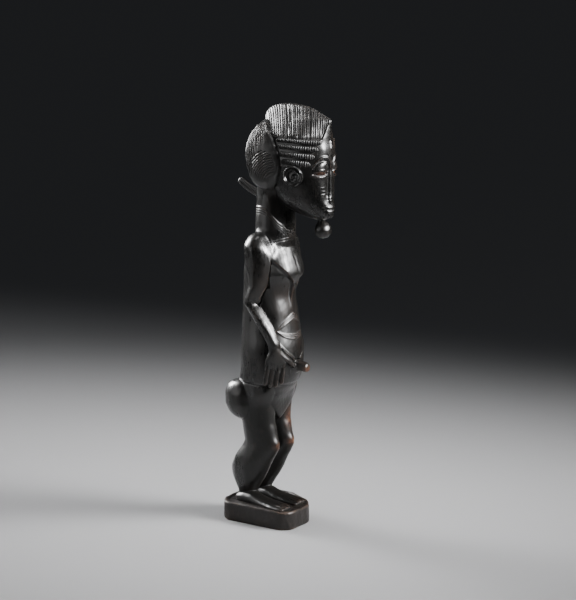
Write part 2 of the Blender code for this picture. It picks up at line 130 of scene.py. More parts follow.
HAND_TURN = -42.0
PALM = [
    (153.6, 23.1, -20.9, 2.4, 9.3, 9.3, 3, HAND_TURN), (155.5, 23.3, -21, 3.2, 9.9, 9.9, 2.8, HAND_TURN),
    (160, 23.7, -21.3, 3.7, 9.8, 9.8, 2.4, HAND_TURN), (166, 24.5, -21.8, 4, 8, 8, 2.2, HAND_TURN),
    (171, 25, -21.9, 4.2, 6.2, 6, 2, -40), (178, 25.6, -21.2, 3.6, 5, 5, 1.9, -38),
]
FINGER_SPREAD = (-7.7, -2.6, 2.5, 7.6)
FINGER_LENGTH = (18.5, 21.0, 21.5, 19.5)
KNUCKLES = 157.0
THUMB = [
    (154.2, 7.6, -31.2, 1, 0.8, 0.8), (155.2, 8, -31.2, 2.4, 1.7, 1.7), (157.6, 10.4, -30.8, 4, 2.4, 2.4),
    (162, 14.6, -29.2, 5, 2.9, 2.9), (168, 19.8, -25.6, 4.6, 3.4, 3.4), (173, 22.5, -23.6, 3.4, 3, 3),
]
NAVEL = [
    (-43, 0, 153, 1.4, 1.4, 1.4), (-42.5, 0, 153.1, 3.2, 3.2, 3.2), (-41.2, 0, 153.3, 4.3, 4.3, 4.3),
    (-38, 0, 153.8, 4.9, 4.9, 4.9), (-34, 0, 154.2, 5.1, 5.1, 5.1), (-32, 0, 154.2, 5.6, 5.6, 5.6),
    (-30.6, 0, 154, 6.6, 6.6, 6.6), (-29, 0, 154, 7.4, 7.4, 7.4), (-25, 0, 154, 7.6, 7.6, 7.6),
]
LOIN_POINT = [
    (98.6, 0, -5, 0.8, 3.2, 1), (100, 0, -5, 2.6, 4.6, 2, 2.4), (103, 0, -4.6, 5.8, 6.6, 3, 3),
    (107, 0, -4, 10, 8.6, 4, 3.6), (111, 0, -3.4, 14, 10, 5, 4), (115, 0, -2.8, 17.6, 11.4, 6, 4),
    (120, 0, -2.2, 20.5, 13.2, 7, 3.6), (127, 0, -2, 21, 16.4, 8, 3), (133, 0, -2, 17, 18, 8, 2.6),
    (137, 0, -2, 8, 12, 6, 2.2),
]
HEAD = [
    (297.5, 0, -56, 3, 6, 4), (299, 0, -54, 6.6, 13.5, 10), (301, 0, -51, 9.4, 18.6, 14, 2.1),
    (307, 0, -45, 14, 25, 24, 2.1), (315, 0, -41, 18, 28.4, 32, 2.1), (325, 0, -38, 20.7, 30.6, 34, 2.1),
    (337, 0, -36, 23, 32.4, 35, 2.1), (350, 0, -35, 24.4, 33.8, 36, 2.1), (363, 0, -33, 24, 35.6, 35, 2.1),
    (373, 0, -31, 22.3, 36.3, 32, 2.1), (380, 0, -31, 19.2, 36.2, 29), (385, 0, -31, 15.6, 35.6, 27, 1.9),
    (389, 0, -30, 11.4, 33, 24, 1.9), (391.5, 0, -29, 6, 18, 16),
]
CREST = [
    (368, 0, -33, 23.4, 30, 22, 1.9), (374, 0, -33, 23.8, 32.5, 30, 1.9), (382, 0, -33, 18.8, 33.6, 35.5, 1.8),
    (389.5, 0, -32, 13.2, 36, 36, 1.7), (395, 0, -29, 9.2, 29.8, 32.4, 1.7),
    (399.5, 0, -27, 6.2, 21.8, 25, 1.8), (402.3, 0, -25, 3.5, 12.5, 14.5), (403.3, 0, -24, 1.6, 5, 6),
    (403.5, 0, -24, 0.4, 1.4, 1.6),
]
LOBE = [
    (321.5, 12, -8, 1.5, 2.5, 2.5), (322.6, 12.1, -8.3, 6, 7, 8.5, 2.2), (325.5, 12.6, -9, 10.2, 8, 14.2, 2.4),
    (333, 14, -10, 13.2, 12.5, 20.5, 2.5), (341, 14.5, -10, 14.2, 17.5, 23.4, 2.6),
    (349, 14.8, -10, 14.5, 20.5, 25.2, 2.6), (357, 14.8, -10, 14.5, 19.5, 26, 2.6),
    (366, 14.2, -10, 13.9, 14.5, 24.8, 2.5), (373, 13.2, -9, 12.8, 11, 21.4, 2.4),
    (379, 11.8, -7, 11.3, 7.5, 16, 2.3), (385, 9.5, -4, 8.2, 4.5, 7.5, 2.2), (388.2, 8, -3.5, 3.5, 2.6, 2.6),
    (388.6, 8, -3.5, 0.8, 0.6, 0.6),
]
BEAD = [
    (279.5, 0, -59.5, 0.6, 0.6, 0.6), (279.8, 0, -59.5, 2.6, 2.6, 2.6), (281.4, 0, -59.5, 5.6, 5.6, 5.6),
    (284.5, 0, -59.5, 7.5, 7.5, 7.5), (287.5, 0, -59.5, 8, 8, 8), (291, 0, -59.3, 7.2, 7.2, 7.2),
    (294, 0, -58.8, 5.2, 5.2, 5.2), (296.2, 0, -58.2, 3.7, 3.7, 3.7), (298.5, 0, -57, 3.5, 3.5, 3.5),
    (302, 0, -56, 3.6, 3.6, 3.6),
]
EAR_Y, EAR_HEIGHT = -41.8, 339.0
EAR_RADIUS = 9.7
# Height, start and end angle from the side of the head to the forehead, and half-height.
TRESS_ROWS = (
    (371.3, -16, 66, 2.3), (365.4, -14, 58, 2.5), (358.4, -12, 50, 2.9), (351.6, -10, 42, 2.9),
)
# The left rows stop this many degrees sooner, behind the forehead.
LEFT_TRESS_CUT = (14, 13, 6, 2)
# Three coordinates and a radius.
BRAID = [
    (0, 4, 316.5, 4.4), (0, 12, 315.6, 4.4), (0, 20, 317.6, 4.2), (0, 28, 321.2, 4),
    (0, 34, 324.8, 3.8), (0, 38.4, 328.2, 3.2),
]
PLINTH_TOP = 18.0
# Anticlockwise, seen from above.
PLINTH_CORNERS = (
    (-36.4, 31), (-36.4, -35), (-28, -44), (2, -43), (17, -31), (30, -3), (30.5, 25), (15, 40), (-4, 44),
    (-24, 41),
)


# ---------------------------------------------------------------- curves and rings
def full(rows):
    """A table with every column: power 2 and turn 0 where a row leaves them out."""
    return np.array([list(row) + [2.0, 0.0][len(row) - 6:] if len(row) < 8 else list(row) for row in rows], float)


def curve(table, at):
    """The table's columns at new places, on a smooth curve that doesn't overshoot."""
    x, y = table[:, 0], table[:, 1:]
    step = np.diff(x)[:, None]
    slope = np.diff(y, axis=0) / step
    tangent = np.zeros_like(y)
    tangent[0], tangent[-1] = slope[0], slope[-1]
    before, after = slope[:-1], slope[1:]
    same = before * after > 1e-12
    w1 = 2 * step[1:] + step[:-1]
    w2 = step[1:] + 2 * step[:-1]
    safe_b, safe_a = np.where(same, before, 1.0), np.where(same, after, 1.0)
    tangent[1:-1] = np.where(same, (w1 + w2) / (w1 / safe_b + w2 / safe_a), 0.0)
    i = np.clip(np.searchsorted(x, at, side="right") - 1, 0, len(step) - 1)
    h = step[i]
    t = ((np.asarray(at) - x[i])[:, None]) / h
    return (
        (1 + 2 * t) * (1 - t) ** 2 * y[i] + t * (1 - t) ** 2 * h * tangent[i]
        + t * t * (3 - 2 * t) * y[i + 1] + t * t * (t - 1) * h * tangent[i + 1]
    )


def places(table, step):
    """Places along a table, close to an even step apart."""
    low, high = table[0][0], table[-1][0]
    return np.linspace(low, high, max(3, int(round((high - low) / step)) + 1))


def rings_of(rows, at, corners, side=LEFT, axis="z", angles=None, back_power=None):
    """Rings of points, in millimetres, each anticlockwise seen from the axis's far end."""
    table = full(rows)
    cx, cy, a, front, back, power, turn = (column[:, None] for column in curve(table, at).T)
    if angles is None:
        angles = 2 * math.pi * (np.arange(corners) + 0.5) / corners
    c, s = np.cos(angles)[None, :], np.sin(angles)[None, :]
    if back_power:
        power = np.where(s > 0, back_power, power)
    across = np.sign(c) * np.abs(c) ** (2 / power) * a
    along = np.sign(s) * np.abs(s) ** (2 / power) * np.where(s < 0, front, back)
    ct, st = np.cos(np.radians(turn)), np.sin(np.radians(turn))
    u = cx + across * ct - along * st
    v = cy + across * st + along * ct
    w = np.broadcast_to(np.asarray(at)[:, None], u.shape)
    parts = {"z": (u, v, w), "y": (u, w, v), "x": (w, u, v)}[axis]
    rings = np.stack(parts, axis=-1).copy()
    rings[..., 0] *= side
    flip = (side == RIGHT) != (axis == "y")
    return rings[:, ::-1] if flip else rings


def grid_faces(n, m, start=0):
    """Quads through n rings of m corners, and a cap at each end."""
    index = start + np.arange(n * m).reshape(n, m)
    turned = np.roll(index, -1, axis=1)
    quads = np.stack([index[:-1], turned[:-1], turned[1:], index[1:]], axis=-1).reshape(-1, 4)
    return quads.tolist() + [index[0][::-1].tolist(), index[-1].tolist()]


def make_mesh(name, points, faces):
    mesh = bpy.data.meshes.new(name)
    mesh.from_pydata((np.asarray(points) * MM).tolist(), [], faces)
    mesh.validate()
    mesh.shade_smooth()
    return mesh


def place_object(name, data):
    obj = bpy.data.objects.new(name, data)
    bpy.context.scene.collection.objects.link(obj)
    return obj


def swung(rows, side):
    """The left arm's sections, carried round the body: nothing at the elbow, most at the wrist."""
    if side == RIGHT:
        return rows
    moved = []
    for row in full(rows):
        share = min(1.15, max(0.0, (ELBOW - row[0]) / (ELBOW - WRIST)))
        angle = math.radians(LEFT_SWING * min(1.0, share))
        x, y = row[1], row[2]
        row[1] = x * math.cos(angle) - y * math.sin(angle)
        row[2] = x * math.sin(angle) + y * math.cos(angle)
        row[1] *= 1 - LEFT_TUCK * min(1.0, share)
        row[7] += math.degrees(angle)
        moved.append(tuple(row))
    return moved


# ---------------------------------------------------------------- mesh tools
def coordinates(mesh):
    points = np.empty(len(mesh.vertices) * 3)
    mesh.vertices.foreach_get("co", points)
    return points.reshape(-1, 3) / MM


def set_coordinates(mesh, points):
    mesh.vertices.foreach_set("co", (points * MM).ravel())
    mesh.update()


def normals(mesh):
    values = np.empty(len(mesh.vertices) * 3, np.float32)
    mesh.vertex_normals.foreach_get("vector", values)
    return values.reshape(-1, 3).astype(float)


def edge_pairs(mesh):
    pairs = np.empty(len(mesh.edges) * 2, np.int32)
    mesh.edges.foreach_get("vertices", pairs)
    return pairs.reshape(-1, 2)


def averaged(values, pairs, count):
    """Each vertex's value, averaged over its neighbours."""
    total = np.zeros_like(values)
    i, j = pairs[:, 0], pairs[:, 1]
    size = len(values)
    for k in range(values.shape[1]):
        total[:, k] = np.bincount(i, values[j, k], size) + np.bincount(j, values[i, k], size)
    return total / count[:, None]


def neighbour_count(pairs, size):
    return np.maximum(np.bincount(pairs.ravel(), minlength=size), 1).astype(float)


def relax(points, pairs, times, weight=None, hold_volume=True):
    """Smooths out voxel steps. Each pass inwards is followed by one outwards, so nothing shrinks."""
    count = neighbour_count(pairs, len(points))
    factors = (0.5, -0.52) if hold_volume else (0.5,)
    for _ in range(times):
        for factor in factors:
            move = factor * (averaged(points, pairs, count) - points)
            points = points + (move if weight is None else move * weight[:, None])
    return points


def smooth(low, high, value):
    t = np.clip((value - low) / (high - low), 0.0, 1.0)
    return t * t * (3 - 2 * t)


def bump(value, width):
    return np.exp(-((value / width) ** 2))


def path_distance(u, v, points):
    """Distance in a plane to a chain of straight lines, and the share of the way along it."""
    best = np.full(u.shape, 1e9)
    share = np.zeros(u.shape)
    steps = len(points) - 1
    for n, ((ax, ay), (bx, by)) in enumerate(zip(points, points[1:])):
        dx, dy = bx - ax, by - ay
        t = np.clip(((u - ax) * dx + (v - ay) * dy) / (dx * dx + dy * dy), 0, 1)
        d = np.hypot(u - ax - t * dx, v - ay - t * dy)
        near = d < best
        best = np.where(near, d, best)
        share = np.where(near, (n + t) / steps, share)
    return best, share


def smooth_chain(points, count):
    """So many rows along a smooth curve through the points."""
    table = np.array([[i, *p] for i, p in enumerate(points)], float)
    return curve(table, np.linspace(0, len(points) - 1, count))


def spline(points, steps=8):
    """A smooth chain through the points, with so many steps from each to the next."""
    return [tuple(p) for p in smooth_chain(points, (len(points) - 1) * steps + 1)]


def length_along(route):
    return np.concatenate([[0], np.cumsum(np.linalg.norm(np.diff(route, axis=0), axis=1))])


def wobble(points, scale, seed):
    """Smooth, irregular values between about -1 and 1, the same each run."""
    rng = np.random.default_rng(seed)
    total = np.zeros(len(points))
    for _ in range(9):
        direction = rng.normal(size=3)
        direction /= np.linalg.norm(direction) * scale * rng.uniform(0.7, 1.5)
        total += np.sin(points @ direction * 2 * math.pi + rng.uniform(0, 2 * math.pi))
    return total / 4.0


# ---------------------------------------------------------------- the fused body
def body_shells():
    """Closed overlapping shells of everything below the head."""
    shells = []

    def add(rows, side=LEFT, axis="z", corners=72, step=1.2):
        table = full(rows)
        shells.append(rings_of(rows, places(table, step), corners, side, axis))

    add(TORSO, corners=128)
    add(NECK, corners=96)
    add(HIPS, corners=112)
    add(NAVEL, axis="y", corners=56, step=0.6)
    add(LOIN_POINT, corners=48, step=0.8)
    for side in SIDES:
        for rows, corners in ((BUTTOCK, 80), (COLLARBONE, 56), (ARM_WEB, 48), (THIGH, 80), (LOWER_LEG, 80)):
            add(rows, side, corners=corners)
        heel, toe = FOOT[-1][0], FOOT[0][0]
        foot = []
        for place, centre, *rest in FOOT:
            centre += TOES_OUT[side] * (heel - place) / (heel - toe)
            if side == LEFT and place < 0:
                place *= LEFT_TOES_SHARE
            foot.append((place, centre, *rest))
        add(foot, side, "y", step=0.8)
        add(UPPER_ARM, side, step=0.8)
        add(swung(FOREARM, side), side, step=0.8)
        add(swung(PALM, side), side, step=0.6)
        inward = LEFT_THUMB_SHARE if side == LEFT else 1.0
        thumb = [(r[0], r[1] * inward, r[2] * inward, *r[3:]) for r in THUMB]
        add(swung(thumb, side), side, corners=40, step=0.6)
        turn = math.radians(HAND_TURN)
        out, across = (math.cos(turn), math.sin(turn)), (-math.sin(turn), math.cos(turn))
        for place, length in zip(FINGER_SPREAD, FINGER_LENGTH):
            rows = []
            tip = [(length, 0.25), (length - 0.8, 0.75), (length - 2.2, 0.98)]
            for drop, half in tip + [(length * 0.5, 1.04), (0, 1.0), (-6, 0.8)]:
                reach = place * (0.96 + 0.06 * drop / length) + 0.13 * drop
                width = 2.1 * half
                rows.append((
                    KNUCKLES - drop, 23.2 + 0.5 * out[0] + across[0] * reach, -20.9 + 0.5 * out[1] + across[1] * reach,
                    2.7 * half, width, width, 2.8, HAND_TURN,
                ))
            add(swung(rows, side), side, corners=32, step=0.8)
    return shells


def fuse(name, shells, voxel):
    """One skin around overlapping shells."""
    points, faces, start = [], [], 0
    for rings in shells:
        n, m, _ = rings.shape
        points.append(rings.reshape(-1, 3))
        faces += grid_faces(n, m, start)
        start += n * m
    obj = place_object(name, make_mesh(name, np.concatenate(points), faces))
    step = obj.modifiers.new("fuse", "REMESH")
    step.mode = "VOXEL"
    step.voxel_size = voxel * MM
    step.adaptivity = 0.0
    evaluated = obj.evaluated_get(bpy.context.evaluated_depsgraph_get())
    fused = bpy.data.meshes.new_from_object(evaluated)
    bpy.data.objects.remove(obj)
    return fused


def node_labels(points, names):
    """For each point, the CAD node whose surface is nearest."""
    verts, polys, owner = [], [], []
    for k, name in enumerate(names):
        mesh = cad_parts[name].data
        base = len(verts)
        verts += [v.co[:] for v in mesh.vertices]
        mesh.calc_loop_triangles()
        for tri in mesh.loop_triangles:
            polys.append([base + i for i in tri.vertices])
            owner.append(k)
    tree = BVHTree.FromPolygons(verts, polys)
    return np.array([owner[tree.find_nearest(p)[2]] for p in (points * MM).tolist()])


def shares_of(labels, kinds, pairs, times):
    """Soft shares of each label, so that borders run clean and masks fade."""
    shares = np.zeros((len(labels), kinds))
    shares[np.arange(len(labels)), labels] = 1.0
    count = neighbour_count(pairs, len(labels))
    for _ in range(times):
        shares = 0.5 * shares + 0.5 * averaged(shares, pairs, count)
    return shares


def belly_lines(angle, z):
    """Raised scar lines on the belly: a leaf shape round the middle and a V down to the navel."""
    s = np.abs(angle) * BELLY_RADIUS
    total = np.zeros(z.shape)

    def with_scar(radius, width, *places):
        line = spline([(math.radians(degrees) * radius, height) for degrees, height in places])
        distance, _ = path_distance(s, z, line)
        return np.maximum(total, bump(distance, width))

    corner = (45, 188.8)
    for k in range(3):
        upper = (24, 197.8 - 1.5 * k), (5, 203.4 - 2.1 * k), (0, 203.9 - 2.2 * k)
        lower = (28, 183.2 + 1.2 * k), (11, 180.8 + 1.9 * k), (0, 180.2 + 2.0 * k)
        for line in (upper, lower):
            total = with_scar(BELLY_RADIUS, 0.6, corner, *line)
    for k in range(2):
        line = (46, 181.5 - 1.9 * k), (33, 173.6 - 1.8 * k), (18, 166.0 - 1.7 * k), (7, 161.0 - 1.4 * k)
        total = with_scar(LOW_BELLY_RADIUS, 0.55, *line)
    return total


def sculpt_body(mesh, names):
    """Smooths the fused body and cuts its detail. Returns each vertex's share of each node."""
    pairs = edge_pairs(mesh)
    points = relax(coordinates(mesh), pairs, 3)
    labels = node_labels(points, names)
    shares = shares_of(labels, len(names), pairs, 10)
    share = {name: shares[:, k] for k, name in enumerate(names)}
    set_coordinates(mesh, points)
    n = normals(mesh)
    x, y, z = points.T
    ax = np.abs(x)
    trunk = share["torso"]
    front = smooth(0.05, -0.25, n[:, 1])
    move = np.zeros((len(points), 3))

    # The chest is a plate that narrows down to the middle; outside it the wood is cut back.
    edge = np.interp(z, [232, 236, 241, 247, 253, 259, 265], [0.5, 3.0, 9.5, 14.5, 19.0, 23.0, 27.0])
    hollow = smooth(0.0, 2.2, ax - edge) * smooth(268, 258, z) * smooth(205, 232, z) * (1 - smooth(20, 27, ax))
    move[:, 1] += trunk * front * hollow * 3.4
    # A shallow furrow runs up the middle of the chest, and a deeper one down the back.
    move[:, 1] += trunk * front * bump(ax, 1.6) * smooth(236, 242, z) * smooth(266, 256, z) * 0.3
    spine = bump(ax, 3.2) * smooth(146, 165, z) * smooth(266, 250, z) * smooth(0.3, 0.8, n[:, 1])
    move[:, 1] -= trunk * spine * 1.3
    points = points + move
    x, y, z = points.T
    ax = np.abs(x)
    # Where forms meet they flow together: the passes of smoothing, and where they act.
    flank = smooth(14, 20, ax) * smooth(94, 100, z) * smooth(134, 126, z) * smooth(-8, -2, y) * smooth(20, 12, y)
    groin = smooth(10, 15, ax) * smooth(102, 107, z) * smooth(130, 122, z) * smooth(2, -4, y)
    shoulder = smooth(9, 13, ax) * smooth(33, 28, ax) * smooth(255, 263, z) * smooth(290, 284, z) * smooth(10, 3, y)
    throat = smooth(256, 261, z) * smooth(280, 275, z) * smooth(22, 18, ax)
    knee = smooth(64, 70, z) * smooth(88, 82, z)
    thigh_top = smooth(92, 97, z) * smooth(112, 106, z) * smooth(11, 16, ax) * smooth(8, 3, y)
    soles = smooth(24, 21, z) * smooth(19, 19.6, z)
    nape = smooth(314, 318, z)
    for passes, where in (
        (14, flank), (8, groin), (150, shoulder), (14, throat),
        (16, knee), (16, thigh_top), (5, soles), (10, nape),
    ):
        points = relax(points, pairs, passes, where, hold_volume=False)
    points = relax(points, pairs, 2)
    set_coordinates(mesh, points)
    n = normals(mesh)
    x, y, z = points.T
    ax = np.abs(x)

    rise = np.zeros(len(points))
    angle = np.arctan2(x, -y)
    rise += trunk * front * 0.6 * belly_lines(angle, z)
    # The neck wears a scarred collar whose upper edge slopes down to the front.
    neck = np.clip(share["neck"] + 0.6 * trunk * smooth(262, 268, z), 0, 1)
    slope = (z - np.interp(y, [-23.5, -19.7, -13, -6.3, 0, 14], [281.0, 289.5, 298, 305, 306.5, 305])) * 0.75
    rise += neck * 0.5 * smooth(0.5, -0.5, slope)
    for k in range(3):
        rise -= neck * (0.34 - 0.08 * k) * bump(slope + 1.6 + 1.7 * k, 0.45)
    for k in range(2):
        rise -= neck * 0.25 * bump(z - 277 + 2.4 * k + 0.35 * (y + 20), 0.5) * front
    # The belly ends in a small lip over the hips.
    rise -= 0.7 * bump(z - 136.0, 1.1) * (share["hips"] + trunk) * smooth(0.35, 0.05, np.abs(n[:, 2]) - 0.35)
    # Toes are parted by short cuts, and toenails are left out.
    for side, label in SIDES.items():
        foot = share[f"{label}_foot"]
        centre = side * (12.0 + TOES_OUT[side] * (31.5 - y) / 66.5)
        for k in (-2, -1, 1, 2):
            offset = (k - 0.5 * np.sign(k)) * 4.1
            rise -= foot * 0.9 * bump(x - centre - offset * side, 0.55) * smooth(-20, -26, y) * smooth(18.2, 19.5, z)
    # The front arris of each upper arm is a fine raised line.
    for side, label in SIDES.items():
        at = np.clip(z, UPPER_ARM[0][0], UPPER_ARM[-1][0])
        cx, cy, _, reach, _, _, turn = curve(full(swung(UPPER_ARM, side)), at).T
        tip_x = side * (cx + reach * np.sin(np.radians(turn)))
        tip_y = cy - reach * np.cos(np.radians(turn))
        arm = share[f"{label}_upper_arm"]
        rise += 0.55 * arm * bump(np.hypot(x - tip_x, y - tip_y) - 0.6, 1.5) * smooth(210, 216, z) * smooth(264, 256, z)
    # Hand work: faint flats and waves that make a highlight wander.
    rise += 0.10 * wobble(points * (1, 1, 0.45), 11.0, 3) + 0.035 * wobble(points * (1, 1, 0.5), 3.4, 4)
    points = points + n * rise[:, None]
    set_coordinates(mesh, points)
    return shares


def split(mesh, names, shares, layers):
    """The fused skin's pieces, one for each node, closed where they meet and shaded as one."""
    points = coordinates(mesh)
    normal = normals(mesh)
    corners = np.empty(len(mesh.loops), np.int32)
    mesh.loops.foreach_get("vertex_index", corners)
    quads = corners.reshape(-1, 4)
    label = np.argmax(shares, axis=1)
    votes = label[quads]
    face_label = np.where(votes[:, 1] == votes[:, 3], votes[:, 1], votes[:, 0])
    pieces = {}
    for k, name in enumerate(names):
        faces = quads[face_label == k]
        if not len(faces):
            continue
        used, local = np.unique(faces, return_inverse=True)
        local = local.reshape(-1, 4)
        size = len(used)
        starts, ends = local.ravel(), np.roll(local, -1, axis=1).ravel()
        keys = starts.astype(np.int64) * size + ends
        open_edge = ~np.isin(keys, ends.astype(np.int64) * size + starts)
        loops = boundary_loops(starts[open_edge].tolist(), ends[open_edge].tolist())
        verts = points[used].tolist()
        shading = normal[used].tolist()
        all_faces = local.tolist()
        for loop in loops:
            centre = points[used][loop].mean(axis=0)
            verts.append(centre.tolist())
            shading.append((0.0, 0.0, 1.0))
            for a, b in zip(loop, loop[1:] + loop[:1]):
                all_faces.append([b, a, len(verts) - 1])
        piece = bpy.data.meshes.new(name)
        piece.from_pydata((np.array(verts) * MM).tolist(), [], all_faces)
        piece.shade_smooth()
        piece.normals_split_custom_set_from_vertices(shading)
        for layer, values in layers.items():
            store(piece, layer, values[used])
        pieces[name] = piece
    return pieces


def boundary_loops(starts, ends):
    """Open edges, joined end to end into closed loops."""
    following = {}
    for a, b in zip(starts, ends):
        following.setdefault(a, []).append(b)
    loops = []
    while following:
        first = next(iter(following))
        loop, here = [], first
        while here in following:
            loop.append(here)
            onward = following[here]
            step = onward.pop()
            if not onward:
                del following[here]
            here = step
        loops.append(loop)
    return loops


# ---------------------------------------------------------------- head, face and hair
def ring_arc(rings, first):
    """Signed distance along each ring from one corner, in millimetres."""
    steps = np.linalg.norm(np.diff(rings, axis=1, append=rings[:, :1]), axis=2)
    total = np.cumsum(steps, axis=1) - steps
    total = total - total[:, first:first + 1]
    length = steps.sum(axis=1, keepdims=True)
    return (total + length / 2) % length - length / 2


def grid_object(name, rings):
    n, m, _ = rings.shape
    return make_mesh(name, rings.reshape(-1, 3), grid_faces(n, m))


def shifted(mesh, shift_of):
    """Moves every vertex by what shift_of gives for its place and normal."""
    points = coordinates(mesh)
    set_coordinates(mesh, points + shift_of(points, normals(mesh)))
    return mesh


# The face's lines, as distance round the head from its middle, and height.
EYE = (12.2, 344.6)
BROW = [
    (22, 344.5), (20.3, 348.5), (18.2, 351.4), (13.8, 355.2), (8.8, 356.7), (5.2, 355.4), (3, 351.5), (2.4, 346),
]
FURROW = [(20, 346.2), (18, 348.9), (14.2, 352.3), (9.8, 353.4), (5.8, 352.2), (4.3, 348.5), (4.1, 344)]
LOWER_LID = [(21.3, 340.6), (18, 338.9), (15, 338.1), (12, 337.7), (8.5, 338.1), (5.2, 339.9)]
HAIRLINE = [
    (0, 387.5), (3.5, 384), (7, 377.5), (10.5, 372.5), (14, 368), (19, 362), (24.3, 356.5), (29.5, 349.5),
    (33, 347), (60, 347),
]


def face_relief(s, z):
    """Height of the face's features over the plain oval: s is the distance round it from the middle."""
    rise = np.zeros(s.shape)
    # Brow, the furrow under it, and the eye's round bulge.
    distance, share = path_distance(s, z, spline(BROW, 6))
    rise += 0.95 * bump(distance, 0.95) * smooth(0, 0.12, share)
    distance, _ = path_distance(s, z, spline(FURROW, 6))
    rise -= 0.85 * bump(distance, 0.95)
    r2 = ((s - EYE[0]) / 9.2) ** 2 + ((z - EYE[1]) / 7.4) ** 2
    rise += 1.75 * np.clip(1 - r2, 0, 1) ** 0.75
    # The lids leave a narrow slit between them.
    at = [5.0, 6.2, 9, 12, 15, 18, 20.6]
    upper = np.interp(s, at, [341.8, 343.2, 344.3, 344.4, 343.9, 342.6, 341.0])
    lower = np.interp(s, at, [341.2, 340.0, 339.0, 338.7, 339.0, 339.8, 340.8])
    across = smooth(4.8, 6.0, s) * smooth(20.8, 19.4, s)
    rise -= 1.05 * across * smooth(lower - 0.15, lower + 0.55, z) * smooth(upper + 0.15, upper - 0.55, z)
    rise += 0.35 * across * bump(z - upper - 0.6, 0.7)
    distance, _ = path_distance(s, z, spline(LOWER_LID, 6))
    rise += 0.6 * bump(distance, 0.7)
    # Three scar bars on each cheek.
    for height in (327.9, 324.7, 321.5):
        rise += 0.18 * bump(z - height, 0.75) * smooth(6.4, 7.2, s) * smooth(14.0, 13.0, s)
    # Lips, and the line between them.
    mouth = smooth(7.2, 4.0, s)
    rise += mouth * (0.5 * bump(z - 309.3, 1.2) + 0.5 * bump(z - 305.3, 1.3) - 0.6 * bump(z - 307.3, 0.5))
    # A small raised mark in the middle of the forehead.
    rise += 0.9 * bump(s, 1.2) * smooth(362.5, 364.5, z) * smooth(372, 370, z)
    return rise


def nose_relief(ax, z):
    """How far the long thin nose stands out, after the cheeks beside it are cut back."""
    height = np.interp(z, [312.6, 314.2, 316, 320, 330, 340, 348, 353], [0, 1.4, 2.2, 2.5, 2.5, 2.4, 1.5, 0])
    half = np.interp(z, [314, 318, 324, 335, 345, 352], [3.1, 3.1, 2.4, 2.1, 2.0, 2.0])
    cut_back = 1.5 * bump(ax, 9.5) * smooth(309, 318, z) * smooth(354, 344, z)
    rise = height * np.sqrt(np.clip(1 - (ax / (half + 1.0)) ** 2, 0, 1)) - cut_back
    rise += 0.9 * np.exp(-(((ax - 3.5) / 1.5) ** 2) - ((z - 317.4) / 2.4) ** 2)
    for level in (320.6, 316.8):
        rise -= 0.55 * bump(z - level, 0.5) * smooth(1.8, 2.6, ax) * smooth(5.6, 4.4, ax)
    return rise


def hairline(s):
    """Height of the edge of the hair, by distance round the head from the middle of the forehead."""
    return np.interp(s, *zip(*HAIRLINE))


def make_head():
    steps = int(400 / COARSE)
    u = 2 * math.pi * (np.arange(steps) + 0.5) / steps - math.pi
    angles = u - 0.4 * np.sin(u) - math.pi / 2
    at = places(full(HEAD), 0.44 * COARSE)
    rings = rings_of(HEAD, at, steps, angles=angles)
    arc = np.abs(ring_arc(rings, steps // 2)).ravel()
    mesh = grid_object("head", rings)

    def shift(points, n):
        x, y, z = points.T
        ax = np.abs(x)
        front = smooth(0.35, -0.15, n[:, 1])
        rise = front * face_relief(arc, z)
        hair = smooth(-0.4, 0.5, z - hairline(arc))
        rise += hair * (0.9 - 2.9 * smooth(371, 375, z))
        # The beard is a raised strip along the jaw, finely hatched.
        edge = np.interp(z, [298, 302, 307, 312, 320, 327, 333], [-64.5, -61.5, -57.5, -54.5, -52, -50.5, -49.5])
        beard = smooth(-0.3, 0.6, y - edge) * smooth(338, 322, z)
        hatch = np.cos(2 * math.pi * (z + 0.8 * y + 0.5 * np.sin(0.5 * y)) / 1.9)
        rise += beard * (0.65 + 0.13 * hatch)
        rise += 0.07 * wobble(points, 9.0, 7)
        move = n * rise[:, None]
        move[:, 1] -= front * nose_relief(ax, z)
        return move

    shifted(mesh, shift)
    set_coordinates(mesh, relax(coordinates(mesh), edge_pairs(mesh), 1))
    return mesh


def strokes(value, pitch, sharp=1.5):
    """Grooves between rounded strands, from 0 on a strand to -1 in a groove."""
    wave = 0.5 + 0.5 * np.cos(2 * math.pi * value / pitch)
    return -(wave ** sharp)


def make_crest():
    at = np.concatenate([
        np.arange(368, 399.9, 0.36 * COARSE), np.linspace(400, 403.1, int(20 / COARSE)), np.linspace(403.2, 403.5, 4),
    ])
    corners = int(600 / COARSE)
    rings = rings_of(CREST, at, corners, back_power=3.0)
    arc = np.abs(ring_arc(rings, 3 * corners // 4)).ravel()
    mesh = grid_object("hair_crest", rings)

    def shift(points, n):
        x, y, z = points.T
        flat = np.hypot(n[:, 0], n[:, 1]) + 1e-6
        side = smooth(0.12, 0.3, (np.abs(n[:, 0]) / flat) ** 2)
        lean = np.interp(y, [-66, -40, -10, 4], [0.62, 0.72, 0.86, 1.0])
        run = y + lean * (np.abs(x) - 15)
        flow = np.stack([0 * x, run, 0.03 * z], axis=-1)
        drift = 0.8 * wobble(flow, 7.0, 11)
        combed = 0.75 * strokes(run + drift, 2.4, 2.0) + 0.35 * strokes(run + 1.3 * drift + 0.4, 1.6, 2.0)
        grooves = side * combed + (1 - side) * strokes(x + 0.3, 2.4)
        depth = 0.85 * (0.7 + 0.3 * wobble(flow, 3.0, 12)) * smooth(403.4, 401.5, z)
        below = smooth(0.5, -0.5, z - hairline(arc))
        return n * (depth * grooves - 2.6 * below)[:, None]

    return shifted(mesh, shift)


